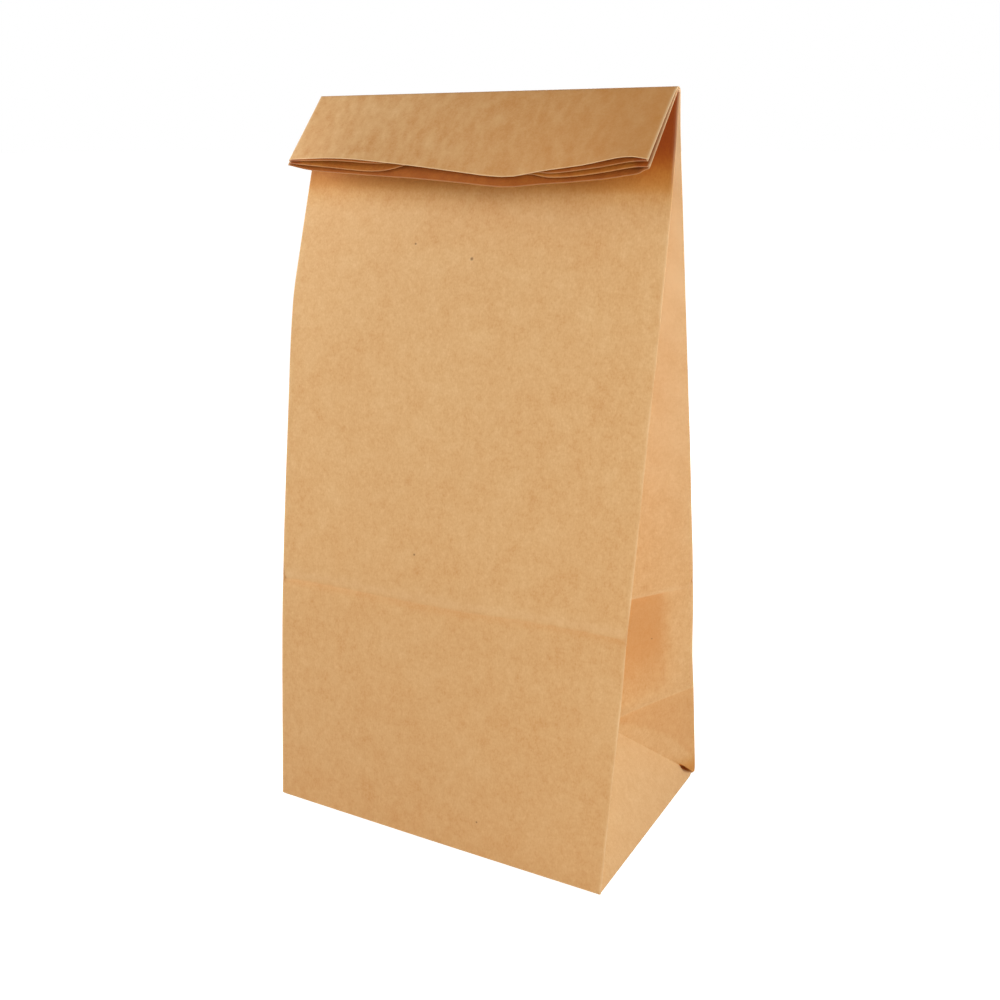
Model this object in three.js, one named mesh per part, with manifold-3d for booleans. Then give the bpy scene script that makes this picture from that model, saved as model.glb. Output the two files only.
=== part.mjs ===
// A brown paper lunch bag with a flat base and tucked sides. It stands up, with its flattened top
// folded once over the front. Millimetres, +Z up, the front facing -Y. The origin is the middle of
// the base, on the surface that the bag stands on.
import * as THREE from 'three';
import { mergeVertices } from 'three/addons/utils/BufferGeometryUtils.js';
import Module from 'manifold-3d';

// Overall sizes
const WIDTH = 160; // across the front and back panels
const DEPTH = 108; // front to back at the base; each side tucks in by half of this
const HEIGHT = 305; // base to the top of the folded-over top
const FLAP_LENGTH = 33; // from the bend of the top to the cut edge of the mouth
const FLAP_LEAN = THREE.MathUtils.degToRad(39); // how far the flap stands out from upright

// Paper
const WALL = 0.3; // thickness of one layer
const LAYER_GAP = 0.4; // air between two layers where the top is flattened
const BEND_RADIUS = 0.5; // middle of the innermost layer, round the bend of the top
const BASE_LAP = 0.3; // the pasted outer flap of the base, below the rest of it
const LAP_PAST_MIDDLE = 14; // how far that flap reaches past the middle of the base
const LAP_INSET = 1; // its edges inside the edges of the base

// How the paper stands now
const LEFT_BOW = 12.2; // the left front edge stands this far in front of a straight one, at its bend
const LEFT_BOW_AT_CREASE = 8.8; // and this far at the crease that the folded-up base pressed in
const LEFT_BEND_BELOW_TOP = 82; // that bend, below the top of the bag
const BACK_BOW = 3.5; // the right back edge stands this far behind a straight one
const MOUTH_SPREAD = 3.2; // the layers stand this much further apart at the mouth
const PANEL_BULGE = 1.6; // the innermost layer bellies out this far at the mouth
const MOUTH_SAG = 3.5; // the middle of the flap lies this much closer to the front panel
const MOUTH_DIP = 3.5; // and its cut edge is this much lower

const KRAFT = '#cfa06a';

// Steps of the mesh
const PANEL_STEPS = 8;
const SIDE_STEPS = 3; // across half of a side
const RUN_STEPS = [SIDE_STEPS, 1, SIDE_STEPS, PANEL_STEPS, SIDE_STEPS, 1, SIDE_STEPS, PANEL_STEPS];
const FOLD_STEPS = 3; // round each fold
const BEND_STEPS = 6;
const FLAP_STEPS = 5;
const BODY_STEP = 22; // tallest row of the upright part
const NEAR_TOP = [30, 12]; // rows this far below the bend of the top
const FIRST_ROW = 2.5; // the lowest row where the sides have left the base

// Sizes that follow
const pitch = WALL + LAYER_GAP;
const foldRadius = pitch / 2;
const stack = 3 * pitch; // front panel to back panel, where four layers lie flat
const halfWidth = (WIDTH - WALL) / 2;
const tuckWidth = (DEPTH - WALL) / 2; // half of a side, from an edge to its middle crease
const outerBend = BEND_RADIUS + stack + WALL / 2;
const bendHeight = HEIGHT - outerBend; // where the upright part ends
const panelLean = Math.atan2(tuckWidth, bendHeight);
const triangleHeight = (tuckWidth * (1 - Math.sin(panelLean))) / Math.cos(panelLean);
const halfCrease = (DEPTH / 2) * Math.cos(panelLean); // pressed in where the base folded up
const baseCrease = DEPTH * Math.cos(panelLean); // pressed in by the base's free edge

// The value at t of a line drawn through points [t, value].
function along(points, t) {
  const i = points.findIndex(([end], k) => k > 0 && t <= end);
  const [[t0, v0], [t1, v1]] = i < 0 ? points.slice(-2) : [points[i - 1], points[i]];
  return v0 + ((v1 - v0) * (t - t0)) / (t1 - t0);
}

function leftBow(z) {
  const bend = bendHeight - LEFT_BEND_BELOW_TOP;
  return along([[0, 0], [baseCrease, LEFT_BOW_AT_CREASE], [bend, LEFT_BOW], [bendHeight, 0]], z);
}

function backBow(z) {
  return BACK_BOW * Math.sin((Math.PI * z) / bendHeight) ** 2;
}

// Half the depth of the bag at a height, to the middle of the paper.
function halfDepth(z) {
  return tuckWidth + ((stack / 2 - tuckWidth) * z) / bendHeight;
}

// How far a side's middle crease stands inside the edges, when they are so far apart. Half a side is
// always tuckWidth wide, so the side goes in as the edges close.
function tuckDepth(edgeGap) {
  return Math.sqrt(tuckWidth ** 2 - ((edgeGap / 2) * Math.cos(panelLean)) ** 2);
}

// One side's folds from its front edge to its back edge. Below triangleHeight the middle crease is two
// creases, which run down to the corners of the base and leave a flat triangle between them.
function sideFolds(sign, front, back, z) {
  const middle = (front + back) / 2;
  const edgeGap = back - front;
  const below = Math.max(0, 1 - z / triangleHeight);
  const tuck = below > 0 ? (1 - below) * tuckDepth(2 * halfDepth(triangleHeight)) : tuckDepth(edgeGap);
  const half = below * tuckWidth;
  const crease = halfWidth - tuck + foldRadius;
  return [
    { x: sign * (halfWidth - foldRadius), q: front + foldRadius, r: foldRadius, turn: 1 },
    { x: sign * crease, q: middle - half, r: foldRadius, turn: -1 },
    { x: sign * crease, q: middle + half, r: foldRadius, turn: -1 },
    { x: sign * (halfWidth - foldRadius), q: back - foldRadius, r: foldRadius, turn: 1 },
  ];
}

// The folds round the whole bag, counter-clockwise from above, from the right front edge.
function roundBag(rightSide, leftSide) {
  return [...rightSide, ...leftSide.reverse()];
}

function bodyFolds(z) {
  const front = -halfDepth(z);
  const back = halfDepth(z);
  return roundBag(
    sideFolds(1, front, back + backBow(z), z),
    sideFolds(-1, front - leftBow(z), back, z),
  );
}

// At the base the sides haven't left the edges yet, so their creases lie in the straight side.
function baseFolds() {
  const creaseStart = tuckWidth - 2 * pitch;
  const inSide = (sign, fold) => ({ ...fold, x: sign * halfWidth, q: Math.sign(fold.q) * creaseStart, r: 0 });
  const side = (sign) => (
    sideFolds(sign, -tuckWidth, tuckWidth, 0).map((fold) => (fold.turn > 0 ? fold : inSide(sign, fold)))
  );
  return roundBag(side(1), side(-1));
}

// The flattened top: the four layers of each side, spread towards the bag by so much.
function flatFolds(spread) {
  const back = stack / 2;
  const front = back - stack - spread;
  const middle = (front + back) / 2;
  const creaseRadius = foldRadius + spread / 4;
  const side = (sign) => [
    { x: sign * (halfWidth - foldRadius), q: front + foldRadius, r: foldRadius, turn: 1 },
    { x: sign * (halfWidth - tuckWidth + creaseRadius), q: middle, r: creaseRadius, turn: -1 },
    { x: sign * (halfWidth - tuckWidth + creaseRadius), q: middle, r: creaseRadius, turn: -1 },
    { x: sign * (halfWidth - foldRadius), q: back - foldRadius, r: foldRadius, turn: 1 },
  ];
  return roundBag(side(1), side(-1));
}

// The heading of the straight run of paper from one fold to the next.
function heading(from, to) {
  const gap = Math.hypot(to.x - from.x, to.q - from.q);
  if (gap < 1e-6) return Math.sign(from.x) * (Math.PI / 2);
  const swing = (from.turn * from.r - to.turn * to.r) / gap;
  return Math.atan2(to.q - from.q, to.x - from.x) + Math.asin(swing);
}

// One face of the paper round the bag at one level, as points [x, q]. The paper is drawn straight from
// fold to fold and round each of them, as a belt is round pulleys. out is how far the face lies outside
// the middle of the paper, and bulge is how far the front panel bellies out.
function faceRound(folds, out, bulge) {
  const count = folds.length;
  const headings = folds.map((fold, i) => heading(fold, folds[(i + 1) % count]));
  const at = ({ x, q, r, turn }, angle) => {
    const reach = turn * r + out;
    return [x + reach * Math.sin(angle), q - reach * Math.cos(angle)];
  };
  const turns = folds.map((fold, i) => {
    const before = headings[(i + count - 1) % count];
    let swing = headings[i] - before;
    while (fold.turn * swing < -1e-6) swing += fold.turn * 2 * Math.PI;
    while (fold.turn * swing > 2 * Math.PI - 1e-6) swing -= fold.turn * 2 * Math.PI;
    return Array.from({ length: FOLD_STEPS + 1 }, (_, k) => at(fold, before + (swing * k) / FOLD_STEPS));
  });
  const frontPanel = count - 1;
  return turns.flatMap((turn, i) => {
    const [start, end] = [turn[turn.length - 1], turns[(i + 1) % count][0]];
    const run = [];
    for (let k = 1; k < RUN_STEPS[i]; k++) {
      const share = k / RUN_STEPS[i];
      const belly = i === frontPanel ? bulge * Math.sin(Math.PI * share) ** 0.5 : 0;
      run.push([start[0] + (end[0] - start[0]) * share, start[1] + (end[1] - start[1]) * share - belly]);
    }
    return [...turn, ...run];
  });
}

// Heights of the upright part's rows: its creases and bends, with even rows between them.
function bodyHeights() {
  const bend = bendHeight - LEFT_BEND_BELOW_TOP;
  const nearTop = NEAR_TOP.map((below) => bendHeight - below);
  const stops = [FIRST_ROW, triangleHeight, halfCrease, baseCrease, bend, ...nearTop, bendHeight];
  stops.sort((a, b) => a - b);
  const heights = [stops[0]];
  for (let i = 1; i < stops.length; i++) {
    const steps = Math.ceil((stops[i] - stops[i - 1]) / BODY_STEP);
    for (let k = 1; k <= steps; k++) heights.push(stops[i - 1] + ((stops[i] - stops[i - 1]) * k) / steps);
  }
  return heights;
}

// A level of the bend or the flap, turned by an angle about the bend's axis and slid along the flap.
function turnedRow(angle, slide) {
  const share = slide / FLAP_LENGTH;
  const spread = MOUTH_SPREAD * share ** 1.5;
  const place = ([x, q]) => {
    const middle = 1 - (x / halfWidth) ** 2;
    const reach = BEND_RADIUS + stack / 2 + q - MOUTH_SAG * middle * share ** 2;
    const length = slide + MOUTH_DIP * middle * share;
    return [
      x,
      -stack / 2 - BEND_RADIUS + reach * Math.cos(angle) - length * Math.sin(angle),
      bendHeight + reach * Math.sin(angle) + length * Math.cos(angle),
    ];
  };
  return { folds: flatFolds(spread), bulge: PANEL_BULGE * share ** 2, place };
}

function rows() {
  const body = bodyHeights().map((z) => ({ folds: bodyFolds(z), bulge: 0, place: ([x, q]) => [x, q, z] }));
  const turn = Math.PI - FLAP_LEAN;
  const bend = Array.from({ length: BEND_STEPS }, (_, k) => turnedRow((turn * (k + 1)) / BEND_STEPS, 0));
  const flap = Array.from({ length: FLAP_STEPS }, (_, k) => (
    turnedRow(turn, (FLAP_LENGTH * (k + 1)) / FLAP_STEPS)
  ));
  return [...body, ...bend, ...flap];
}

// The folded tube of paper with its base: an outer face, an inner face and the rim of the mouth.
function foldedTube() {
  const base = (z) => ({ folds: baseFolds(), bulge: 0, place: ([x, q]) => [x, q, z] });
  const ring = (row, out) => faceRound(row.folds, out, row.bulge).map(row.place);
  const upper = rows();
  const outer = [base(BASE_LAP), ...upper].map((row) => ring(row, WALL / 2));
  const inner = [base(BASE_LAP + WALL), ...upper].map((row) => ring(row, -WALL / 2));
  const size = outer[0].length;
  const points = [...outer, ...inner].flat(1);
  const start = (face, row) => (face === inner ? outer.length + row : row) * size;
  const triangles = [];
  const quad = (a, b, c, d) => triangles.push(a, b, c, a, c, d);
  for (let j = 0; j < size; j++) {
    const next = (j + 1) % size;
    for (let i = 1; i < outer.length; i++) {
      const [o0, o1, i0, i1] = [start(outer, i - 1), start(outer, i), start(inner, i - 1), start(inner, i)];
      quad(o0 + j, o0 + next, o1 + next, o1 + j);
      quad(i0 + j, i1 + j, i1 + next, i0 + next);
    }
    const [rimOut, rimIn] = [start(outer, outer.length - 1), start(inner, inner.length - 1)];
    quad(rimOut + j, rimOut + next, rimIn + next, rimIn + j);
  }
  for (const [face, z, flip] of [[outer, BASE_LAP, true], [inner, BASE_LAP + WALL, false]]) {
    const middle = points.push([0, 0, z]) - 1;
    for (let j = 0; j < size; j++) {
      const [a, b] = [start(face, 0) + j, start(face, 0) + ((j + 1) % size)];
      triangles.push(middle, ...(flip ? [b, a] : [a, b]));
    }
  }
  const geometry = new THREE.BufferGeometry();
  geometry.setAttribute('position', new THREE.Float32BufferAttribute(points.flat(), 3));
  geometry.setIndex(triangles);
  return geometry;
}

// The pasted outer flap under the base, let a little way into it so that the two join.
function baseLap() {
  const [x, front, back] = [WIDTH / 2 - LAP_INSET, -DEPTH / 2 + LAP_INSET, LAP_PAST_MIDDLE];
  const corners = [[-x, front], [x, front], [x, back], [-x, back]];
  const outline = new THREE.Shape(corners.map((corner) => new THREE.Vector2(...corner)));
  return new THREE.ExtrudeGeometry(outline, { depth: BASE_LAP + WALL / 2, bevelEnabled: false });
}

function toSolid(wasm, geometry) {
  const bare = new THREE.BufferGeometry();
  bare.setAttribute('position', geometry.attributes.position);
  bare.setIndex(geometry.index);
  const merged = mergeVertices(bare, 1e-4);
  return new wasm.Manifold(new wasm.Mesh({
    numProp: 3,
    vertProperties: new Float32Array(merged.attributes.position.array),
    triVerts: new Uint32Array(merged.index.array),
  }));
}

function toGeometry(solid) {
  const { vertProperties, triVerts } = solid.getMesh();
  const geometry = new THREE.BufferGeometry();
  geometry.setAttribute('position', new THREE.BufferAttribute(vertProperties, 3));
  geometry.setIndex(new THREE.BufferAttribute(triVerts, 1));
  geometry.computeVertexNormals();
  return geometry;
}

const wasm = await Module();
wasm.setup();

const bag = new THREE.Mesh(
  toGeometry(toSolid(wasm, foldedTube()).add(toSolid(wasm, baseLap()))),
  new THREE.MeshStandardMaterial({ color: KRAFT, roughness: 0.85, metalness: 0 }),
);
bag.name = 'paper_bag';

const group = new THREE.Group();
group.add(bag);

export default group;
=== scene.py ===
"""The look of a brown paper lunch bag: one folded sheet of kraft paper, standing with its top folded over.

The sheet is worked out in millimetres, +Z up and the front facing -Y, and is turned to metres when its mesh
is made.
"""

import math

import bpy
import numpy as np
from mathutils import Matrix, Vector


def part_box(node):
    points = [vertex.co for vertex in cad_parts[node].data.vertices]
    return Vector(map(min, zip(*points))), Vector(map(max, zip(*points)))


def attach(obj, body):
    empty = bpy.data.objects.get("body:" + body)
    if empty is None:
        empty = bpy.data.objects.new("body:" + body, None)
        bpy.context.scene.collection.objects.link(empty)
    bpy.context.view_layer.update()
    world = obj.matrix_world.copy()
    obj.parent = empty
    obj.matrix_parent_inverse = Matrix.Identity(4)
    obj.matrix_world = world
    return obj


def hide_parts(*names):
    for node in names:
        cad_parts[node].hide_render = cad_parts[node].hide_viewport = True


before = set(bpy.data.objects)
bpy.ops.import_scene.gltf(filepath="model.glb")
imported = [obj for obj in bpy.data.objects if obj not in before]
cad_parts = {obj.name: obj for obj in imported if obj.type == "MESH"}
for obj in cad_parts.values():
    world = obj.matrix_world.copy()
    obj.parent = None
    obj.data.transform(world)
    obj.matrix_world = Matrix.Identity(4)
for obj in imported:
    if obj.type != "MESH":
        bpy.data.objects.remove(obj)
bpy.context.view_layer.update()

MM = 0.001  # metres in a millimetre

# The bag's overall sizes, from the frame
low, high = (np.array(corner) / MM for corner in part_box("paper_bag"))
WIDTH = high[0] - low[0]
DEPTH = high[1] - low[1]
HEIGHT = high[2] - low[2]

# Paper
PAPER = 0.12  # thickness of one layer
STACK = 1.0  # front panel to back panel, where four layers lie flat
BEND_RADIUS = 1.0  # innermost layer, round the bend of the top
BASE_ROUND = 0.7  # radius of the fold round the base
BASE_LIFT = PAPER * 1.6  # how high the base lies, above the outer flap pasted under it
LAP_PAST_MIDDLE = 14  # how far that outer flap reaches past the middle
LAP_INSET = 1  # its edges inside the edges of the base

# The folded-over flap
LEFT_LEAN = 40.5  # degrees from upright, at its left end
RIGHT_LEAN = 43.8
FLAP_END_FROM = 68  # from here to its right end, the flap's layers stand apart all the way up to the bend
BEND_SKEW = 1.4  # how far the bend's left end is pulled in to the right
END_SKEW = 0.7  # how far short of the lower layers the upper ones end at the right

# How the edges stand now, as points (height, distance from a straight edge), out at the front and the back
LEFT_FRONT_BOW = [(0, 0), (106, 8.8), (180, 11.4), (210, 12.2), (222, 12), (246, 8.8), (270, 5), (303, 0)]
RIGHT_FRONT_BOW = [
    (0, 0), (43, -0.6), (78, -1.9), (102, -1.1), (133, -2.1), (180, -2.3), (219, -3.3), (266, -2.6), (303, 0),
]
RIGHT_BACK_BOW = [
    (0, 0.6), (5, 1.5), (46, 1.6), (63, 1), (93, 3.2), (115, 3.8), (136, 3.3), (164, 3.1), (190, 2.1),
    (227, 1), (261, 0), (290, -0.8), (303, 0),
]
LEFT_BACK_BOW = [(0, 0), (60, 1.2), (110, 2.4), (200, 2), (303, 0)]

# The mouth, as points (across the bag, value). The cut is how far each layer reaches from the bend.
# The others are how far each layer stands from the middle of the stack at its cut edge, out being away
# from the front.
CUT = [
    (-80, 32.3), (-50, 33), (-25, 34.1), (0, 36.1), (22, 37.8), (38, 35.6), (60, 34.2), (73, 33.2),
    (80, 33.9),
]
BACK_AT_MOUTH = [(-80, 0.5), (-58, 1.7), (-20, -1), (23, -3.5), (50, -1.5), (72, 1.6), (80, 0.9)]
FRONT_AT_MOUTH = [
    (-80, 0), (-70, -3), (-56, -4.3), (-36, -5.4), (0, -5.9), (28, -6.6), (40, -7.1), (60, -6.2),
    (74, -4.6), (78, -2.1), (80, -1.1),
]
LEFT_UPPER_LEAF = [(-80, 0.5), (-58, 1.2), (-40, 0), (-26, -1.7)]
LEFT_LOWER_LEAF = [(-80, 0), (-68, -1.2), (-57, -2.5), (-42, -3.8), (-32, -3.5), (-28, -2.9), (-26, -2.1)]
RIGHT_UPPER_LEAF = [(26, -3.9), (34, -3.7), (45, -3), (60, -1.6), (80, 0.9)]
RIGHT_LOWER_LEAF = [(26, -4.3), (34, -4.9), (45, -4.8), (60, -3.6), (80, -1.1)]
TIP_SHORT = 3.2  # how much higher a tucked side's cut edge lies at its middle crease
TIP_LENGTH = 8  # how far from the crease that reaches
TIP_SHIFT = {-1: 4, 1: 5}  # how far right the left and the right middle crease lie at the mouth

# Creases that the folded-up base pressed into the paper, as distances along the paper from the base
BASE_CREASE = 103.9
SIDE_BASE_CREASE = 101
SIDE_HALF_CREASE = 48.6

# The shapes of the creases, as (depth, how far the flank above reaches, how far the one below)
FRONT_CREASE_SHAPE = (0.9, 4.2, 1.5)
BACK_CREASE_SHAPE = (0.9, 4, 1.5)
SIDE_BASE_CREASE_SHAPE = (0.7, 3, 1.2)
SIDE_HALF_CREASE_SHAPE = (0.6, 2, 1.5)

# Soft rises and hollows, as (share across, distance up, reach across, reach up, how far out)
FRONT_RISE = (0.5, 60, 0.5, 50, 1.0)
FRONT_HOLLOW = (0.45, 190, 0.5, 70, -1.2)
BACK_RISE = (0.5, 150, 0.5, 90, 1.5)
SIDE_HOLLOW = (0.4, 80, 0.35, 16, -2.2)

# The small hole at the right back corner, where the foot of the side doesn't close
CORNER_HOLE = 2.2
CORNER_HOLE_UP = 3.8  # along the paper from the base
CORNER_HOLE_DEEP = 5
CORNER_DARK = (1.5, 6.8)  # from and to this distance up, the paper is painted darkest in shade at the corner
BACK_FOLD_DARK = 2.2  # up to this distance, the back fold is painted dark in shade too

# Painted shade: how deep in shade the paper's colour is painted, where little light reaches it
CORNER_SHADE = 0.3
CORNER_SHADE_REACH = 4.5
# painted shade under the flap, by height
FLAP_SHADE = [(259, 0), (263, 0.03), (266, 0.07), (269, 0.27), (275, 0.55), (286, 1.2), (310, 1.2)]
IN_THE_MOUTH = 0.62  # painted shade between the layers of the flap
FLAP_END_SHADED = 6  # how far in from its edge folds a tucked side is painted deepest in shade, in the flap

# Pale paper, at most 1: scuffing along the folds and cut edges, which also stands for their painted
# highlight, and painted light above creases, on the right side's foot and up the right side
FOLD_PALE_WIDE = 0.5  # how far from an edge fold that reaches
BASE_FOLD_PALE = 0.6
BASE_FOLD_PALE_RINGS = 3  # rings of the base that are paler with it
CREASE_PALE = 0.24  # painted highlight just above the long crease
# painted highlight along the side's creases
SIDE_CREASES_PALE = [(SIDE_BASE_CREASE, 0.4), (SIDE_HALF_CREASE, 0.2)]
# painted light on the right side's foot
FOOT_PALE = 0.25
SIDE_PALE = [(0, 0), (100, 0.05), (150, 0.3), (200, 0.6), (240, 0.9), (270, 1.15), (310, 1.3)]  # painted light up the right side, by height
CUT_EDGE_LIGHTER = 0.32  # paler at the cut edge, partly a painted highlight: of all layers but the outermost, which is 1
CUT_EDGE_PALE = 0.45  # how far from a cut edge the paper is pale

# Painted shade in brown: how far the paper's colour is painted darker where less light falls on it
CREASE_DARK = 0.42  # painted shade along the foot of the long crease
PANEL_SHADE_AT_BASE = 0.3  # painted shade at the base, less with height
PANEL_SHADE_UP_TO = 170
SIDE_HALO = (0.45, 84, 0.2, 16, 0.5)  # painted shade round the mark below, given as the rises above are
SIDE_MARK = 1.15  # painted shade between the side's two creases
SIDE_MARK_RISES = 27  # it comes in over this distance above the lower crease
SIDE_MARK_TO = 0.82  # and ends at this share across, over the next
SIDE_MARK_SOFT = 0.12
SIDE_BAND = 0.55  # painted shade between the lower crease and the slanting fold
FLAP_DARK_LEFT = 0.25  # painted shade at the flap's left end
FLAP_DARK_MORE = 0.95  # added towards its right end

# Steps of the mesh
PANEL_STEPS = 48
LEAF_STEPS = 22
BETWEEN_STEPS = 16  # across the flat triangle at the foot of a side
FOLD_STEPS = 5
LEVELS = 400
ROW_STEP = 2.6
BEND_STEPS = 12
FLAP_STEPS = 26
BASE_ROUND_STEPS = 4
BASE_RINGS = (0.9, 0.6, 0.3)  # as shares of the flat base

# Sizes that follow
half_width = (WIDTH - PAPER) / 2
tuck_width = (DEPTH - PAPER) / 2
inner = half_width - tuck_width  # where the tucked sides' middle creases lie in the flattened top
fold_radius = STACK / 6
bend_height = HEIGHT - BEND_RADIUS - STACK - PAPER / 2
edge_length = math.hypot(tuck_width, bend_height)
panel_lean = math.atan2(tuck_width, bend_height)
triangle_height = tuck_width * (1 - math.sin(panel_lean)) / math.cos(panel_lean)

# The eight straight runs of the sheet, counter-clockwise from the right front edge, and the fold before each
(
    FRONT_LEAF, RIGHT_FOOT, BACK_LEAF, BACK_PANEL,
    LEFT_BACK_LEAF, LEFT_FOOT, LEFT_FRONT_LEAF, FRONT_PANEL,
) = range(8)
PANELS = (BACK_PANEL, FRONT_PANEL)
LEAVES = (FRONT_LEAF, BACK_LEAF, LEFT_BACK_LEAF, LEFT_FRONT_LEAF)
AFTER_AN_EDGE = (FRONT_LEAF, BACK_PANEL, LEFT_BACK_LEAF, FRONT_PANEL)
BEFORE_AN_EDGE = (BACK_LEAF, BACK_PANEL, LEFT_FRONT_LEAF, FRONT_PANEL)
RUN_STEPS = [LEAF_STEPS, BETWEEN_STEPS, LEAF_STEPS, PANEL_STEPS] * 2
TURNS = np.array([1, -1, -1, 1] * 2)  # which way each fold turns


def through(points, at):
    """The value at a place on a smooth curve through points, which doesn't overshoot between them."""
    places, values = np.array(points, float).T
    steps = np.diff(places)
    slopes = np.diff(values) / steps
    product, total = slopes[1:] * slopes[:-1], slopes[1:] + slopes[:-1]
    inside = np.where(product > 0, 2 * product / np.where(product > 0, total, 1), 0)
    slope = np.concatenate([slopes[:1], inside, slopes[-1:]])
    at = np.clip(at, places[0], places[-1])
    i = np.clip(np.searchsorted(places, at) - 1, 0, len(steps) - 1)
    t = (at - places[i]) / steps[i]
    rise = values[i] + (values[i + 1] - values[i]) * t * t * (3 - 2 * t)
    return rise + steps[i] * t * (1 - t) * (slope[i] * (1 - t) - slope[i + 1] * t)


def crowded(steps):
    """Shares from 0 to 1, closer together at both ends."""
    return (1 - np.cos(np.pi * np.arange(steps + 1) / steps)) / 2


class Columns:
    """Where each column of the sheet lies round the bag: round a fold, or on the straight run after it."""

    def __init__(self):
        places = []
        for i, steps in enumerate(RUN_STEPS):
            places.extend((i, k / FOLD_STEPS, True) for k in range(FOLD_STEPS + 1))
            places.extend((i, share, False) for share in crowded(steps)[1:-1])
        self.run, self.share, self.fold = (np.array(part) for part in zip(*places))

    def between(self, value_of_run):
        """A value on every column, from its value at (run, share). Round a fold it goes from run to run."""
        values = np.zeros(len(self.run))
        for i in range(len(RUN_STEPS)):
            flat = (self.run == i) & ~self.fold
            values[flat] = value_of_run(i, self.share[flat])
            bent = (self.run == i) & self.fold
            before = value_of_run((i - 1) % len(RUN_STEPS), np.ones(1))
            after = value_of_run(i, np.zeros(1))
            turned = (1 - np.cos(np.pi * self.share[bent])) / 2
            values[bent] = before + (after - before) * turned
        return values


columns = Columns()


def half_depth(z):
    return tuck_width + (STACK / 2 - tuck_width) * z / bend_height


def tuck_depth(edge_gap):
    """How far a side's middle crease stands inside the edges, when they are so far apart."""
    return np.sqrt(tuck_width**2 - (edge_gap / 2 * math.cos(panel_lean)) ** 2)


def side_folds(sign, front, back, z):
    """One side's folds from its front edge to its back edge, at each height, as (x, y) of their middles."""
    middle = (front + back) / 2
    below = np.maximum(0, 1 - z / triangle_height)
    deep = tuck_depth(2 * half_depth(triangle_height))
    tuck = np.where(below > 0, (1 - below) * deep, tuck_depth(np.minimum(back - front, 2 * tuck_width)))
    crease_x = sign * (half_width - tuck + fold_radius)
    edge_x = np.full_like(z, sign * (half_width - fold_radius))
    apart = below * (tuck_width - 3 * fold_radius)
    return [
        (edge_x, front + fold_radius),
        (crease_x, middle - apart),
        (crease_x, middle + apart),
        (edge_x, back - fold_radius),
    ]


def belt(folds):
    """The paper round the bag at each level, drawn straight from fold to fold as a belt is round pulleys.

    Returns points (x, y) and the way that the paper faces there, each as levels by columns by 2.
    """
    x, y = (np.stack(part, axis=1) for part in zip(*folds))
    dx, dy = np.roll(x, -1, 1) - x, np.roll(y, -1, 1) - y
    gap = np.hypot(dx, dy)
    swing = (TURNS - np.roll(TURNS, -1)) * fold_radius / np.maximum(gap, 1e-9)
    heading = np.arctan2(dy, dx) + np.arcsin(np.clip(swing, -1, 1))
    heading = np.where(gap < 1e-6, np.sign(x) * np.pi / 2, heading)
    before = np.roll(heading, 1, 1)
    turned = np.mod(TURNS * (heading - before) + 1e-6, 2 * np.pi) * TURNS
    points = np.zeros((len(x), len(columns.run), 2))
    facing = np.zeros_like(points)

    def on_fold(i, angle):
        out = np.stack([np.sin(angle), -np.cos(angle)], axis=-1)
        return np.stack([x[:, i], y[:, i]], axis=-1) + TURNS[i] * fold_radius * out, out

    for i in range(len(TURNS)):
        for c in np.flatnonzero((columns.run == i) & columns.fold):
            points[:, c], facing[:, c] = on_fold(i, before[:, i] + turned[:, i] * columns.share[c])
        start, out = on_fold(i, heading[:, i])
        end, _ = on_fold((i + 1) % len(TURNS), heading[:, i])
        for c in np.flatnonzero((columns.run == i) & ~columns.fold):
            points[:, c] = start + (end - start) * columns.share[c]
            facing[:, c] = out
    return points, facing


def body_levels():
    """The belt at close levels up the upright part."""
    z = np.linspace(0, bend_height, LEVELS)
    front, back = -half_depth(z), half_depth(z)
    right = side_folds(1, front - through(RIGHT_FRONT_BOW, z), back + through(RIGHT_BACK_BOW, z), z)
    left = side_folds(-1, front - through(LEFT_FRONT_BOW, z), back + through(LEFT_BACK_BOW, z), z)
    return belt([*right, *left[::-1]])


def body_distances():
    """Rows up the upright part, as distances along the paper, closer together at each crease."""
    stops = [BASE_ROUND, tuck_width, SIDE_HALF_CREASE, SIDE_BASE_CREASE, BASE_CREASE, 150, 218, edge_length]
    rows = [BASE_ROUND]
    stops = sorted(stops)
    for start, end in zip(stops, stops[1:]):
        steps = max(3, round((end - start) / ROW_STEP))
        rows.extend(start + (end - start) * crowded(steps)[1:])
    return np.array(rows)


def heights_of(distance):
    """The height of each column at a distance along the paper: a tucked side climbs less at first."""
    at_edge = distance * bend_height / edge_length
    if distance < tuck_width:
        at_crease = distance * triangle_height / tuck_width
    else:
        share = (distance - tuck_width) / (edge_length - tuck_width)
        at_crease = triangle_height + (bend_height - triangle_height) * share

    def along(run, share):
        if run in (FRONT_LEAF, LEFT_BACK_LEAF):
            return at_edge + (at_crease - at_edge) * share
        if run in (BACK_LEAF, LEFT_FRONT_LEAF):
            return at_crease + (at_edge - at_crease) * share
        return np.full_like(share, at_edge if run in PANELS else at_crease)

    return columns.between(along)


def crease(distance, at, depth, above, below):
    """A valley pressed into the paper at a distance up it, with a soft flank above and below."""
    away = distance - at
    return -depth * np.exp(-np.abs(away) / np.where(away > 0, above, below))


def swell(share, distance, at_share, at_distance, across, up, out):
    """A soft rise or hollow in a panel or a leaf."""
    return out * np.exp(-(((share - at_share) / across) ** 2) - ((distance - at_distance) / up) ** 2)


def crease_wave(share):
    """The front's long crease isn't quite straight."""
    return 0.5 * np.sin(9 * share + 0.5)


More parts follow.
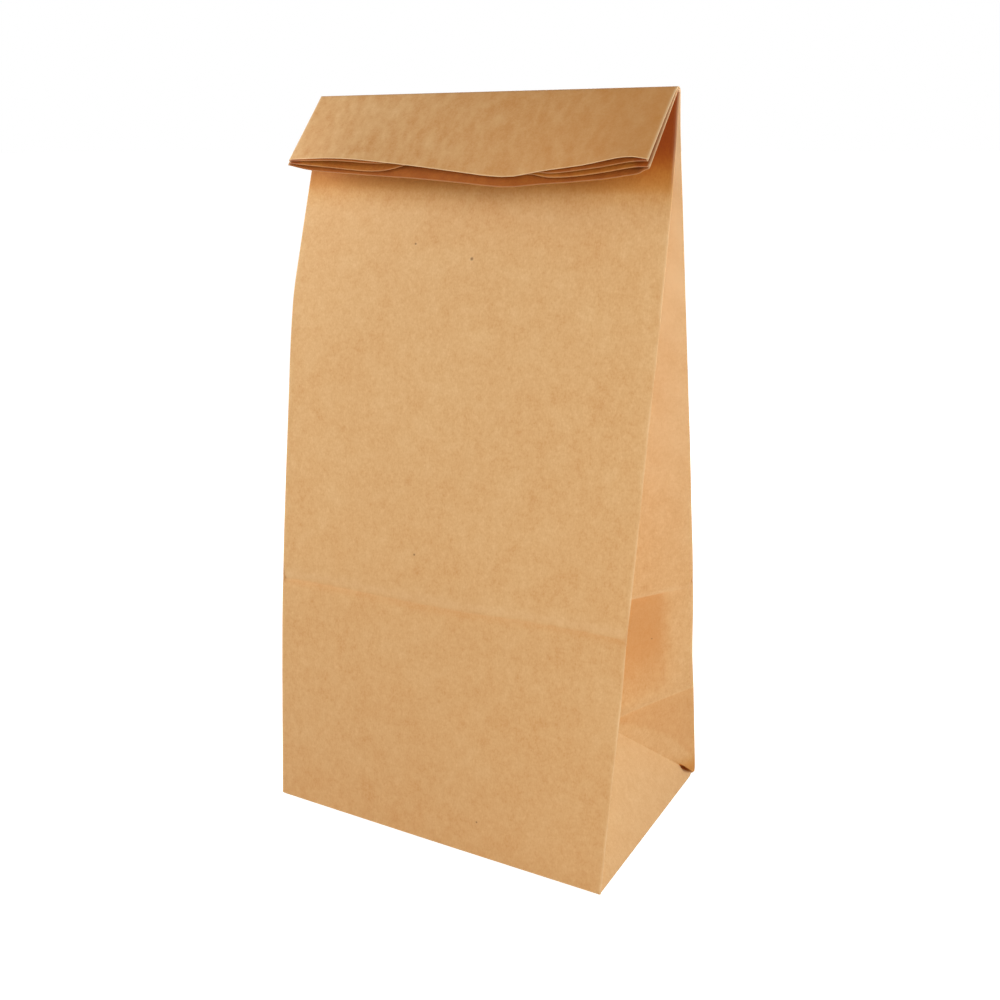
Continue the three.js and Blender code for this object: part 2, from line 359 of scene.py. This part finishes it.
def relief(distance):
    """How far each column lies outside the straight paper, at a distance up it."""

    def corner_hole(share, at_share, width):
        across = CORNER_HOLE / width
        return swell(share, distance, at_share, CORNER_HOLE_UP, across, CORNER_HOLE, -CORNER_HOLE_DEEP)

    def of_run(run, share):
        edge = np.sin(np.pi * share) ** 0.5
        if run == FRONT_PANEL:
            out = crease(distance, BASE_CREASE + crease_wave(share), *FRONT_CREASE_SHAPE)
            out += swell(share, distance, *FRONT_RISE) * edge
            out += swell(share, distance, *FRONT_HOLLOW) * edge
            return out
        if run == BACK_PANEL:
            out = crease(distance, BASE_CREASE, *BACK_CREASE_SHAPE)
            return out + swell(share, distance, *BACK_RISE) * edge
        if run == RIGHT_FOOT:
            return corner_hole(share, 1, DEPTH)
        if run == LEFT_FOOT:
            return np.zeros_like(share)
        out = crease(distance, SIDE_BASE_CREASE, *SIDE_BASE_CREASE_SHAPE) * edge
        out += crease(distance, SIDE_HALF_CREASE, *SIDE_HALF_CREASE_SHAPE) * edge
        if run == BACK_LEAF:
            out += swell(share, distance, *SIDE_HOLLOW) * edge
            out += corner_hole(share, 0, tuck_width)
        return out

    return columns.between(of_run)


def body():
    """The upright part, as rows by columns by 3."""
    points, facing = body_levels()
    rows = []
    for distance in body_distances():
        z = heights_of(distance)
        at = np.clip(z / bend_height * (LEVELS - 1), 0, LEVELS - 1.001)
        i, t = at.astype(int), (at % 1)[:, None]
        c = np.arange(len(z))
        place = points[i, c] * (1 - t) + points[i + 1, c] * t
        out = facing[i, c] * (1 - t) + facing[i + 1, c] * t
        place = place + out * relief(distance)[:, None]
        rows.append(np.column_stack([place, z]))
    return np.array(rows)


def at_mouth(run, share):
    """How far the layers of a run stand from the middle of the stack at the mouth."""
    if run == FRONT_LEAF:
        return through(RIGHT_LOWER_LEAF, half_width + (inner - half_width) * share)
    if run == BACK_LEAF:
        return through(RIGHT_UPPER_LEAF, inner + (half_width - inner) * share)
    if run == BACK_PANEL:
        return through(BACK_AT_MOUTH, half_width * (1 - 2 * share))
    if run == LEFT_BACK_LEAF:
        return through(LEFT_UPPER_LEAF, -half_width + (half_width - inner) * share)
    if run == LEFT_FRONT_LEAF:
        return through(LEFT_LOWER_LEAF, -inner - (half_width - inner) * share)
    if run == FRONT_PANEL:
        return through(FRONT_AT_MOUTH, half_width * (2 * share - 1))
    if run == LEFT_FOOT:
        ends = (LEFT_UPPER_LEAF[-1], LEFT_LOWER_LEAF[-1])
    else:
        ends = (RIGHT_LOWER_LEAF[0], RIGHT_UPPER_LEAF[0])
    return np.full_like(share, (ends[0][1] + ends[1][1]) / 2)


def tip_shift(run, share):
    """How far a layer lies to the right of where its folds would put it, at the mouth."""
    if run in PANELS:
        return np.zeros_like(share)
    to_crease = {FRONT_LEAF: share, BACK_LEAF: 1 - share, LEFT_BACK_LEAF: share, LEFT_FRONT_LEAF: 1 - share}
    side = 1 if run <= BACK_LEAF else -1
    return TIP_SHIFT[side] * to_crease.get(run, np.ones_like(share)) ** 2


def flat_stack():
    """The four layers of the flattened top, as columns by 2."""
    half = np.array([STACK / 2])
    top_height = np.array([bend_height])
    right = side_folds(1, -half, half, top_height)
    left = side_folds(-1, -half, half, top_height)
    points, _ = belt([*right, *left[::-1]])
    return points[0]


def turned_row(flat, turned, share):
    """A row of the bend or the flap, by how far round the bend and how far down the flap it is, as shares."""
    x, y = flat.T
    lean = np.radians(LEFT_LEAN + (RIGHT_LEAN - LEFT_LEAN) * (x / half_width + 1) / 2)
    full = np.pi - lean
    angle = full * turned
    at_end = np.clip((x - FLAP_END_FROM) / (half_width - FLAP_END_FROM), 0, 1)
    stand = y + (columns.between(at_mouth) - y) * share ** (1.6 - 1.2 * at_end)
    to_left = ((half_width - x) / WIDTH) ** 3
    x = x + BEND_SKEW * to_left * turned * (1 - share)
    x = x - END_SKEW * at_end * (y / STACK + 0.5) * share**0.4
    reach = BEND_RADIUS + STACK / 2 + stand
    shorter = full * (STACK / 2 - y)
    from_crease = np.where(np.isin(columns.run, PANELS), np.inf, np.abs(x) - inner)
    recess = TIP_SHORT * np.exp(-((from_crease / TIP_LENGTH) ** 2))
    length = share * (through(CUT, x) + shorter - recess)
    axis = -STACK / 2 - BEND_RADIUS
    return np.column_stack([
        x + columns.between(tip_shift) * share**2,
        axis + reach * np.cos(angle) - length * np.sin(angle),
        bend_height + reach * np.sin(angle) + length * np.cos(angle),
    ])


def top():
    """The bend and the flap."""
    flat = flat_stack()
    bend = [turned_row(flat, (k + 1) / BEND_STEPS, 0) for k in range(BEND_STEPS)]
    shares = [*(np.arange(1, FLAP_STEPS) / FLAP_STEPS), 1 - CUT_EDGE_PALE / CUT[0][1], 1]
    flap = [turned_row(flat, 1, share) for share in shares]
    return np.array(bend + flap)


def base_rings(ring):
    """The fold round the base and the flat base inside it, as rings from the middle out to the lowest row."""
    rings = []
    for k in range(1, BASE_ROUND_STEPS + 1):
        angle = math.pi / 2 * k / BASE_ROUND_STEPS
        inset = BASE_ROUND * (1 - math.cos(angle))
        share = 1 - inset / tuck_width
        z = BASE_ROUND * (1 - math.sin(angle)) + BASE_LIFT
        rings.append(np.column_stack([ring[:, :2] * share, np.full(len(ring), z)]))
    edge = rings[-1][:, :2]
    for share in BASE_RINGS:
        rings.append(np.column_stack([edge * share, np.full(len(ring), BASE_LIFT)]))
    return rings[::-1]


def fold_distances():
    """How far along the paper each column is from the nearer of its run's edge folds, where it has one."""
    away = np.full(len(columns.run), 99.0)
    for i in range(len(RUN_STEPS)):
        flat = (columns.run == i) & ~columns.fold
        share = columns.share[flat]
        width = WIDTH if i in PANELS else tuck_width
        to_before = share * width if i in AFTER_AN_EDGE else np.inf
        to_next = (1 - share) * width if i in BEFORE_AN_EDGE else np.inf
        away[flat] = np.minimum(to_before, to_next)
    away[columns.fold & np.isin(columns.run, AFTER_AN_EDGE)] = 0
    return away


def from_long_crease(distance):
    """How far above a panel's long crease each column is, and how strongly that crease shows there."""
    uneven = 0.88 + 0.12 * np.cos(4 * np.pi * columns.share + 0.4)
    return distance - BASE_CREASE - crease_wave(columns.share), uneven


def wear_and_highlight_amounts(rows, first, distances):
    """Where the paper is pale: scuffed along its edge folds, round the base's fold and at its cut edge, which
    also stands for their painted highlight, and painted light above creases, on the right side's foot and up
    the right side.
    """
    run, share = columns.run, columns.share
    leaf = (run == BACK_LEAF) & ~columns.fold
    side = leaf | (run == FRONT_LEAF)
    foot = run == RIGHT_FOOT
    panel = np.isin(run, PANELS) & ~columns.fold
    wear_and_highlight = np.zeros(rows.shape[:2])
    wear_and_highlight[first:] = np.exp(-((fold_distances() / FOLD_PALE_WIDE) ** 2))
    fold_paleness = 0.42 + 0.16 * np.sin(distances / 9) + 0.12 * np.sin(distances / 3.7 + 1)
    wear_and_highlight[first : first + len(distances)] *= fold_paleness[:, None]
    wear_and_highlight[first - BASE_FOLD_PALE_RINGS : first + 1] = BASE_FOLD_PALE

    def at_least(row, where, amount):
        wear_and_highlight[row, where] = np.maximum(wear_and_highlight[row, where], amount)

    for row, distance in enumerate(distances, first):
        above, uneven = from_long_crease(distance)
        band = np.exp(-(((above - 2.4) / 2.4) ** 2))
        at_least(row, panel, (CREASE_PALE * band * uneven)[panel])
        for at, pale in SIDE_CREASES_PALE:
            at_least(row, side, pale * math.exp(-(((distance - at - 0.4) / 0.6) ** 2)))
        at_least(row, foot, FOOT_PALE)
        along = share[leaf]
        cloudy = 1 + 0.3 * np.sin(distance / 5.3 + 4 * along) * np.sin(distance / 11.7 + 9 * along + 1)
        at_least(row, leaf, through(SIDE_PALE, rows[row, leaf, 2]) * cloudy)
    wear_and_highlight[-1] = np.where(run == BACK_PANEL, 1, CUT_EDGE_LIGHTER)
    return wear_and_highlight


def painted_brown_shade_amounts(rows, first, distances):
    """Painted shade in brown: at the foot of the long crease, low on the panels, on the right side round and
    between its creases, and on the flap, most at its right end.
    """
    run, share = columns.run, columns.share
    leaf = (run == BACK_LEAF) & ~columns.fold
    panel = np.isin(run, PANELS) & ~columns.fold
    back = run == BACK_PANEL
    painted_brown_shade = np.zeros(rows.shape[:2])
    for row, distance in enumerate(distances, first):
        above, uneven = from_long_crease(distance)
        foot_of_crease = np.exp(-(((above + 0.9) / 1.5) ** 2)) + 0.35 * np.exp(above / 9) * (above < 0)
        shade_at_base = PANEL_SHADE_AT_BASE * np.clip(1 - distance / PANEL_SHADE_UP_TO, 0, 1)
        painted_brown_shade[row, panel] = (CREASE_DARK * foot_of_crease * uneven + shade_at_base)[panel]
        if distance >= SIDE_BASE_CREASE:
            continue
        halo = swell(share, distance, *SIDE_HALO)
        comes_in = np.clip((distance - SIDE_HALF_CREASE) / SIDE_MARK_RISES, 0, 1)
        mark = SIDE_MARK * comes_in * np.clip((SIDE_MARK_TO - share) / SIDE_MARK_SOFT, 0, 1)
        in_band = (share * tuck_width > tuck_width - distance) & (distance < SIDE_HALF_CREASE)
        painted_brown_shade[row, leaf] = np.maximum.reduce([halo, mark, SIDE_BAND * in_band])[leaf]
    flap = first + len(distances)
    painted_brown_shade[flap:, back] = FLAP_DARK_LEFT + FLAP_DARK_MORE * (1 - share[back]) ** 1.3
    return painted_brown_shade


def painted_shade_amounts(rows, first, distances):
    """How deep the paper is painted in shade: in the corner hole, under the flap and in the mouth."""
    run, share = columns.run, columns.share
    leaf = (run == BACK_LEAF) & ~columns.fold
    corner = (leaf & (share < 0.1)) | ((run == BACK_LEAF) & columns.fold)
    back_fold = (run == BACK_PANEL) & columns.fold
    painted_shade = np.zeros(rows.shape[:2])
    for row, distance in enumerate(distances, first):
        away = (distance - CORNER_HOLE_UP) / CORNER_SHADE_REACH
        painted_shade[row, leaf] = CORNER_SHADE * math.exp(-(away**2))
        if CORNER_DARK[0] < distance < CORNER_DARK[1]:
            painted_shade[row, corner] = 1
        if distance < BACK_FOLD_DARK:
            painted_shade[row, back_fold] = 1
    front = np.isin(run, (FRONT_LEAF, FRONT_PANEL, LEFT_FRONT_LEAF))
    under_flap = through(FLAP_SHADE, rows[first:, :, 2]) * front
    painted_shade[first:] = np.maximum(painted_shade[first:], under_flap)
    flap = first + len(distances)
    painted_shade[flap + BEND_STEPS :, run != BACK_PANEL] = IN_THE_MOUTH
    at_end = np.isin(run, LEAVES) & ~columns.fold & (fold_distances() < FLAP_END_SHADED)
    painted_shade[flap:, at_end] = 1
    return painted_shade


def wear_and_painted_light(rings, first, point_count):
    """The amount of each mark at every point of the mesh, which the material reads: scuffing and painted
    light, painted shade, and where the flap is handled.
    """
    distances = body_distances()
    handled = np.zeros(rings.shape[:2])
    handled[first + len(distances) :] = 1
    grids = {
        "wear_and_highlight": wear_and_highlight_amounts(rings, first, distances),
        "painted_brown_shade": painted_brown_shade_amounts(rings, first, distances),
        "painted_shade": painted_shade_amounts(rings, first, distances),
        "handled": handled,
    }
    return {name: np.pad(grid.ravel(), (0, point_count - grid.size)) for name, grid in grids.items()}


def paper_bag():
    upper = np.concatenate([body(), top()])
    rings = np.array([*base_rings(upper[0]), *upper])
    size = upper.shape[1]
    points = rings.reshape(-1, 3)
    middle = len(points)
    points = np.vstack([points, [[0, 0, BASE_LIFT]]])
    faces = []
    for i in range(len(rings) - 1):
        for j in range(size):
            k = (j + 1) % size
            faces.append((i * size + j, i * size + k, (i + 1) * size + k, (i + 1) * size + j))
    faces.extend((middle, (j + 1) % size, j) for j in range(size))

    # the pasted outer flap under the base
    x, front, back, z = WIDTH / 2 - LAP_INSET, -DEPTH / 2 + LAP_INSET, LAP_PAST_MIDDLE, PAPER / 2
    first = len(points)
    points = np.vstack([points, [(-x, front, z), (-x, back, z), (x, back, z), (x, front, z)]])
    faces.append((first, first + 1, first + 2, first + 3))

    mesh = bpy.data.meshes.new("kraft_bag")
    mesh.from_pydata((points * MM).tolist(), [], faces)
    mesh.update()
    made = bpy.data.objects.new("kraft_bag", mesh)
    for name, amounts in wear_and_painted_light(rings, len(rings) - len(upper), len(points)).items():
        layer = mesh.attributes.new(name, "FLOAT", "POINT")
        layer.data.foreach_set("value", amounts.astype(np.float32))
    bpy.context.scene.collection.objects.link(made)
    for polygon in mesh.polygons:
        polygon.use_smooth = True
    thickness = made.modifiers.new("thickness", "SOLIDIFY")
    thickness.thickness = PAPER * MM
    thickness.offset = 0
    thickness.material_offset = 1
    thickness.material_offset_rim = 2
    return made


bag = paper_bag()
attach(bag, "root")
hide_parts("paper_bag")


# Camera, at the photograph's place
VIEW_YAW = math.radians(29.05)  # to the right of the front
VIEW_PITCH = math.radians(17.03)  # down
VIEW_ROLL = math.radians(-0.24)
VIEW_PLACE = Vector((237.3, -417.8, 285.4)) * MM
LENS = 41.82
SENSOR = 36


def add_camera():
    forward = Vector((
        -math.sin(VIEW_YAW) * math.cos(VIEW_PITCH),
        math.cos(VIEW_YAW) * math.cos(VIEW_PITCH),
        -math.sin(VIEW_PITCH),
    ))
    level_right = forward.cross(Vector((0, 0, 1))).normalized()
    level_up = level_right.cross(forward)
    right = level_right * math.cos(VIEW_ROLL) + level_up * math.sin(VIEW_ROLL)
    up = level_up * math.cos(VIEW_ROLL) - level_right * math.sin(VIEW_ROLL)
    data = bpy.data.cameras.new("camera")
    data.lens = LENS
    data.sensor_width = SENSOR
    camera = bpy.data.objects.new("camera", data)
    bpy.context.scene.collection.objects.link(camera)
    turn = Matrix((right, up, -forward)).transposed()
    camera.matrix_world = Matrix.Translation(VIEW_PLACE) @ turn.to_4x4()
    bpy.context.scene.camera = camera


add_camera()


def to_linear(hex_colour):
    """An sRGB hex colour as linear red, green, blue and alpha."""
    channels = [int(hex_colour[i : i + 2], 16) / 255 for i in (1, 3, 5)]
    return [*(c / 12.92 if c <= 0.04045 else ((c + 0.055) / 1.055) ** 2.4 for c in channels), 1]


def add_node(tree, kind, inputs=None, **settings):
    """Adds a node with its settings. Each input is a value or another node's output."""
    made = tree.nodes.new("ShaderNode" + kind)
    for name, value in settings.items():
        setattr(made, name, value)
    for name, value in (inputs or {}).items():
        if isinstance(value, bpy.types.NodeSocket):
            tree.links.new(value, made.inputs[name])
        else:
            made.inputs[name].default_value = value
    return made


def per_metre(millimetres):
    """The scale of a noise whose features are so wide."""
    return 1 / (millimetres * MM)


# Kraft paper's colours
KRAFT_DARK = "#c98f51"  # where long brown fibres lie thick
KRAFT_LIGHT = "#e5be88"
INNER_DARK = "#b87c40"  # the inner side, which isn't pressed smooth, and painted darker as shade in the mouth's gaps where it shows
INNER_LIGHT = "#d4a068"
CUT_DARK = "#d9a76c"  # the cut edge
CUT_LIGHT = "#f0cb98"
PALE_WEAR_AND_HIGHLIGHT = "#f0ce9e"  # pale paper: scuffed folds and cut edges, partly a painted highlight, and painted light on creases and up the right side
SHADE_BROWN = "#c9853f"  # brown of the painted shade at the long crease, low on the panels, on the right side and on the flap
FLECK = "#6b4423"  # bits of bark and knot
PAINTED_SHADE_TINT = (0.5, 0.19, 0.022)  # painted shade: red, green and blue kept where the paper is painted fully in shade
SHADE_WEAR_AND_HIGHLIGHT = [("painted_brown_shade", SHADE_BROWN, 0.55), ("wear_and_highlight", PALE_WEAR_AND_HIGHLIGHT, 0.7)]  # painted brown shade, and pale paper from scuffing and painted light, and how far each is mixed in at most

# Its patterns, in millimetres
MOTTLING = [(40, 0.25), (11, 0.34), (2.6, 0.5), (0.9, 0.62)]  # width, and how far each shifts the colour
FIBRE_WIDTH = 0.35  # real fibres are a tenth of this wide: drawn as coarse as they need to show
FIBRE_LENGTH = 2.6
FIBRE_TURNS = (0.25, -0.6)  # two ways that fibres lie, in radians
FIBRES_SHOW = 0.30
STREAK_WIDTH = 4.5  # cloudy streaks along the sheet
STREAK_LENGTH = 8
STREAKS_SHOW = 0.25
STREAKS_WHERE_HANDLED = 1.25
GRAIN = 0.5  # the real grain is finer: drawn as coarse as it needs to show
GRAIN_HEIGHT = 0.05
FLECK_SPACING = 17
FLECK_RADIUS = 0.22
FLECKS_LEFT_OUT = 0.82  # share of the places for a fleck that have none
# the flecks seen on the front, as (across, up, radius)
FLECKS = [(0.6, 242.0, 0.62), (-25.2, 247.0, 0.4), (-15.1, 122.3, 0.42), (22.3, 14.9, 0.38)]


def shifted(tree, tone, noise, amount):
    """The tone moved up and down by a noise, by so much."""
    centred = add_node(tree, "Math", {0: noise.outputs["Fac"], 1: 0.5}, operation="SUBTRACT").outputs[0]
    return add_node(tree, "Math", {0: centred, 1: amount, 2: tone}, operation="MULTIPLY_ADD").outputs[0]


def fibre_tone(tree, place):
    """From dark to light: clouds of thicker and thinner paper, fibres lying two ways, and streaks."""
    tone = 0.5
    for width, shift in MOTTLING:
        settings = {"Vector": place, "Scale": per_metre(width), "Detail": 2.0, "Roughness": 0.55}
        tone = shifted(tree, tone, add_node(tree, "TexNoise", settings), shift)
    stretch = (1 / FIBRE_WIDTH, 1 / FIBRE_WIDTH, 1 / FIBRE_LENGTH)
    for turn in FIBRE_TURNS:
        settings = {"Vector": place, "Rotation": (turn, turn, 0), "Scale": stretch}
        along = add_node(tree, "Mapping", settings).outputs[0]
        noise = add_node(tree, "TexNoise", {"Vector": along, "Scale": 1 / MM, "Detail": 1.0})
        tone = shifted(tree, tone, noise, FIBRES_SHOW)
    streak = (per_metre(STREAK_WIDTH), per_metre(STREAK_LENGTH), per_metre(STREAK_LENGTH))
    stretched = add_node(tree, "VectorMath", {0: place, 1: streak}, operation="MULTIPLY").outputs[0]
    noise = add_node(tree, "TexNoise", {"Vector": stretched, "Scale": 1.0, "Detail": 2.0})
    handled = add_node(tree, "Attribute", attribute_name="handled").outputs["Fac"]
    settings = {"Value": handled, "To Min": STREAKS_SHOW, "To Max": STREAKS_WHERE_HANDLED}
    return shifted(tree, tone, noise, add_node(tree, "MapRange", settings).outputs[0])


def fleck_amount(tree, place):
    """Where a fleck shows: a few at random, and the four that are seen on the front."""
    cells = add_node(tree, "TexVoronoi", {"Vector": place, "Scale": per_metre(FLECK_SPACING)})
    random = add_node(tree, "SeparateColor", {0: cells.outputs["Color"]}).outputs[0]
    chosen = add_node(tree, "Math", {0: random, 1: FLECKS_LEFT_OUT}, operation="GREATER_THAN").outputs[0]
    reach = FLECK_RADIUS / FLECK_SPACING
    settings = {"From Min": reach, "From Max": reach * 2.2, "To Min": 0.55, "To Max": 0.0}
    spot = add_node(tree, "MapRange", {"Value": cells.outputs["Distance"], **settings}).outputs[0]
    fleck = add_node(tree, "Math", {0: spot, 1: chosen}, operation="MULTIPLY").outputs[0]
    flattened = add_node(tree, "VectorMath", {0: place, 1: (1, 0, 1)}, operation="MULTIPLY").outputs[0]
    depth = add_node(tree, "SeparateXYZ", {0: place}).outputs["Y"]
    front = add_node(tree, "Math", {0: depth, 1: -STACK * MM}, operation="LESS_THAN").outputs[0]
    for across, up, radius in FLECKS:
        centre = (across * MM, 0, up * MM)
        away = add_node(tree, "VectorMath", {0: flattened, 1: centre}, operation="DISTANCE").outputs["Value"]
        settings = {"From Min": radius * MM * 0.4, "From Max": radius * MM * 1.4}
        settings |= {"To Min": 0.75, "To Max": 0.0}
        spot = add_node(tree, "MapRange", {"Value": away, **settings}).outputs[0]
        spot = add_node(tree, "Math", {0: spot, 1: front}, operation="MULTIPLY").outputs[0]
        fleck = add_node(tree, "Math", {0: fleck, 1: spot}, operation="MAXIMUM").outputs[0]
    return fleck


def kraft_paper(name, dark, light, rough):
    """Unbleached kraft paper, pressed smooth outside: matt, mottled by its fibres, with a low sheen."""
    material = bpy.data.materials.new(name)
    material.use_nodes = True
    tree = material.node_tree
    shader = tree.nodes["Principled BSDF"]
    place = add_node(tree, "TexCoord").outputs["Object"]
    tone = fibre_tone(tree, place)
    kraft = {"Factor": tone, "A": to_linear(dark), "B": to_linear(light)}
    colour = add_node(tree, "Mix", kraft, data_type="RGBA").outputs["Result"]

    # painted shade: the colour is darkened, blue and green first, as deep as the paper is painted in shade
    amount = add_node(tree, "Attribute", attribute_name="painted_shade").outputs["Fac"]
    left = [add_node(tree, "Math", {0: tint, 1: amount}, operation="POWER").outputs[0] for tint in PAINTED_SHADE_TINT]
    deep = add_node(tree, "CombineColor", dict(enumerate(left))).outputs[0]
    shade = {"Factor": 1.0, "A": colour, "B": deep}
    colour = add_node(tree, "Mix", shade, data_type="RGBA", blend_type="MULTIPLY").outputs["Result"]

    # painted brown shade, then pale paper from scuffing and painted light
    for attribute, hex_colour, most in SHADE_WEAR_AND_HIGHLIGHT:
        amount = add_node(tree, "Attribute", attribute_name=attribute).outputs["Fac"]
        amount = add_node(tree, "Math", {0: amount, 1: most}, operation="MULTIPLY", use_clamp=True).outputs[0]
        overlay = {"Factor": amount, "A": colour, "B": to_linear(hex_colour)}
        colour = add_node(tree, "Mix", overlay, data_type="RGBA").outputs["Result"]
    specks = {"Factor": fleck_amount(tree, place), "A": colour, "B": to_linear(FLECK)}
    colour = add_node(tree, "Mix", specks, data_type="RGBA").outputs["Result"]
    tree.links.new(colour, shader.inputs["Base Color"])

    grain = add_node(tree, "TexNoise", {"Vector": place, "Scale": per_metre(GRAIN), "Detail": 2.0})
    height = add_node(tree, "Math", {0: grain.outputs["Fac"], 1: tone}, operation="ADD").outputs[0]
    bump = add_node(tree, "Bump", {"Strength": 0.35, "Distance": GRAIN_HEIGHT * MM, "Height": height})
    tree.links.new(bump.outputs["Normal"], shader.inputs["Normal"])
    shader.inputs["Roughness"].default_value = rough
    shader.inputs["IOR"].default_value = 1.45
    shader.inputs["Specular IOR Level"].default_value = 0.35
    return material


bag.data.materials.append(kraft_paper("kraft_paper", KRAFT_DARK, KRAFT_LIGHT, 0.66))
bag.data.materials.append(kraft_paper("kraft_paper_inner_side", INNER_DARK, INNER_LIGHT, 0.8))
bag.data.materials.append(kraft_paper("kraft_paper_cut_edge", CUT_DARK, CUT_LIGHT, 0.85))


# Studio
FLOOR_WHITE = (0.8, 0.8, 0.8, 1)
FLOOR_SIZE = 40  # metres from its middle to its edge
FLOOR_GLOW_NEAR = 0.72  # beside the bag, where the lamps light the floor
FLOOR_GLOW_FAR = 1
FLOOR_GLOW_FROM = 0.15  # metres from the bag
FLOOR_GLOW_TO = 0.6
WALL_LIGHT = 0.1
WHITE = (1, 1, 1, 1)


def seen_as_background(tree):
    """1 for what the camera sees directly, in a reflection or through glass, and 0 for light on the bag."""
    path = add_node(tree, "LightPath").outputs
    seen = {0: path["Is Camera Ray"], 1: path["Is Glossy Ray"]}
    seen = {0: add_node(tree, "Math", seen, operation="MAXIMUM").outputs[0], 1: path["Is Transmission Ray"]}
    return add_node(tree, "Math", seen, operation="MAXIMUM").outputs[0]


def floor():
    """A white floor. The camera sees it glow too, so that it is white and still keeps a soft shadow."""
    data = bpy.data.meshes.new("floor")
    corners = [(x * FLOOR_SIZE, y * FLOOR_SIZE, 0) for x, y in ((-1, -1), (1, -1), (1, 1), (-1, 1))]
    data.from_pydata(corners, [], [(0, 1, 2, 3)])
    made = bpy.data.objects.new("floor", data)
    bpy.context.scene.collection.objects.link(made)
    material = bpy.data.materials.new("white_floor")
    material.use_nodes = True
    tree = material.node_tree
    tree.nodes.clear()
    matt = add_node(tree, "BsdfDiffuse", {"Color": FLOOR_WHITE}).outputs[0]
    place = add_node(tree, "TexCoord").outputs["Object"]
    away = add_node(tree, "VectorMath", {0: place}, operation="LENGTH").outputs["Value"]
    settings = {"From Min": FLOOR_GLOW_FROM, "From Max": FLOOR_GLOW_TO}
    settings |= {"To Min": FLOOR_GLOW_NEAR, "To Max": FLOOR_GLOW_FAR}
    strength = add_node(tree, "MapRange", {"Value": away, **settings}).outputs[0]
    glow = add_node(tree, "Emission", {"Color": WHITE, "Strength": strength}).outputs[0]
    both = add_node(tree, "AddShader", {0: matt, 1: glow}).outputs[0]
    surface = add_node(tree, "MixShader", {0: seen_as_background(tree), 1: matt, 2: both}).outputs[0]
    add_node(tree, "OutputMaterial", {"Surface": surface})
    data.materials.append(material)


def lamp(name, azimuth, elevation, distance, size, power):
    """A square soft lamp that looks at the middle of the bag. Azimuth 0 is in front, and 90 to the right."""
    data = bpy.data.lights.new(name, "AREA")
    data.size = size
    data.energy = power
    made = bpy.data.objects.new(name, data)
    bpy.context.scene.collection.objects.link(made)
    around, up = math.radians(azimuth), math.radians(elevation)
    back = Vector((math.sin(around) * math.cos(up), -math.cos(around) * math.cos(up), math.sin(up)))
    made.location = Vector((0, 0, HEIGHT / 2 * MM)) + back * distance
    made.visible_camera = False
    made.rotation_mode = "QUATERNION"
    made.rotation_quaternion = (-back).to_track_quat("-Z", "Y")


def studio_walls():
    """White walls all round: they light the bag softly, and the camera sees them as white."""
    world = bpy.data.worlds.new("studio")
    bpy.context.scene.world = world
    world.use_nodes = True
    tree = world.node_tree
    tree.nodes.clear()
    settings = {"Value": seen_as_background(tree), "To Min": WALL_LIGHT, "To Max": 1}
    strength = add_node(tree, "MapRange", settings).outputs[0]
    walls = add_node(tree, "Background", {"Color": WHITE, "Strength": strength}).outputs[0]
    add_node(tree, "OutputWorld", {"Surface": walls})


floor()
lamp("front_softbox", 48, 14, 0.6, 0.35, 2.2)
lamp("left_softbox", -68, 24, 0.4, 0.3, 1.6)
lamp("right_softbox", 120, 32, 0.4, 0.25, 0.72)
lamp("back_softbox", 190, 25, 0.8, 0.5, 2.6)
studio_walls()

bpy.context.scene.view_settings.view_transform = "Standard"
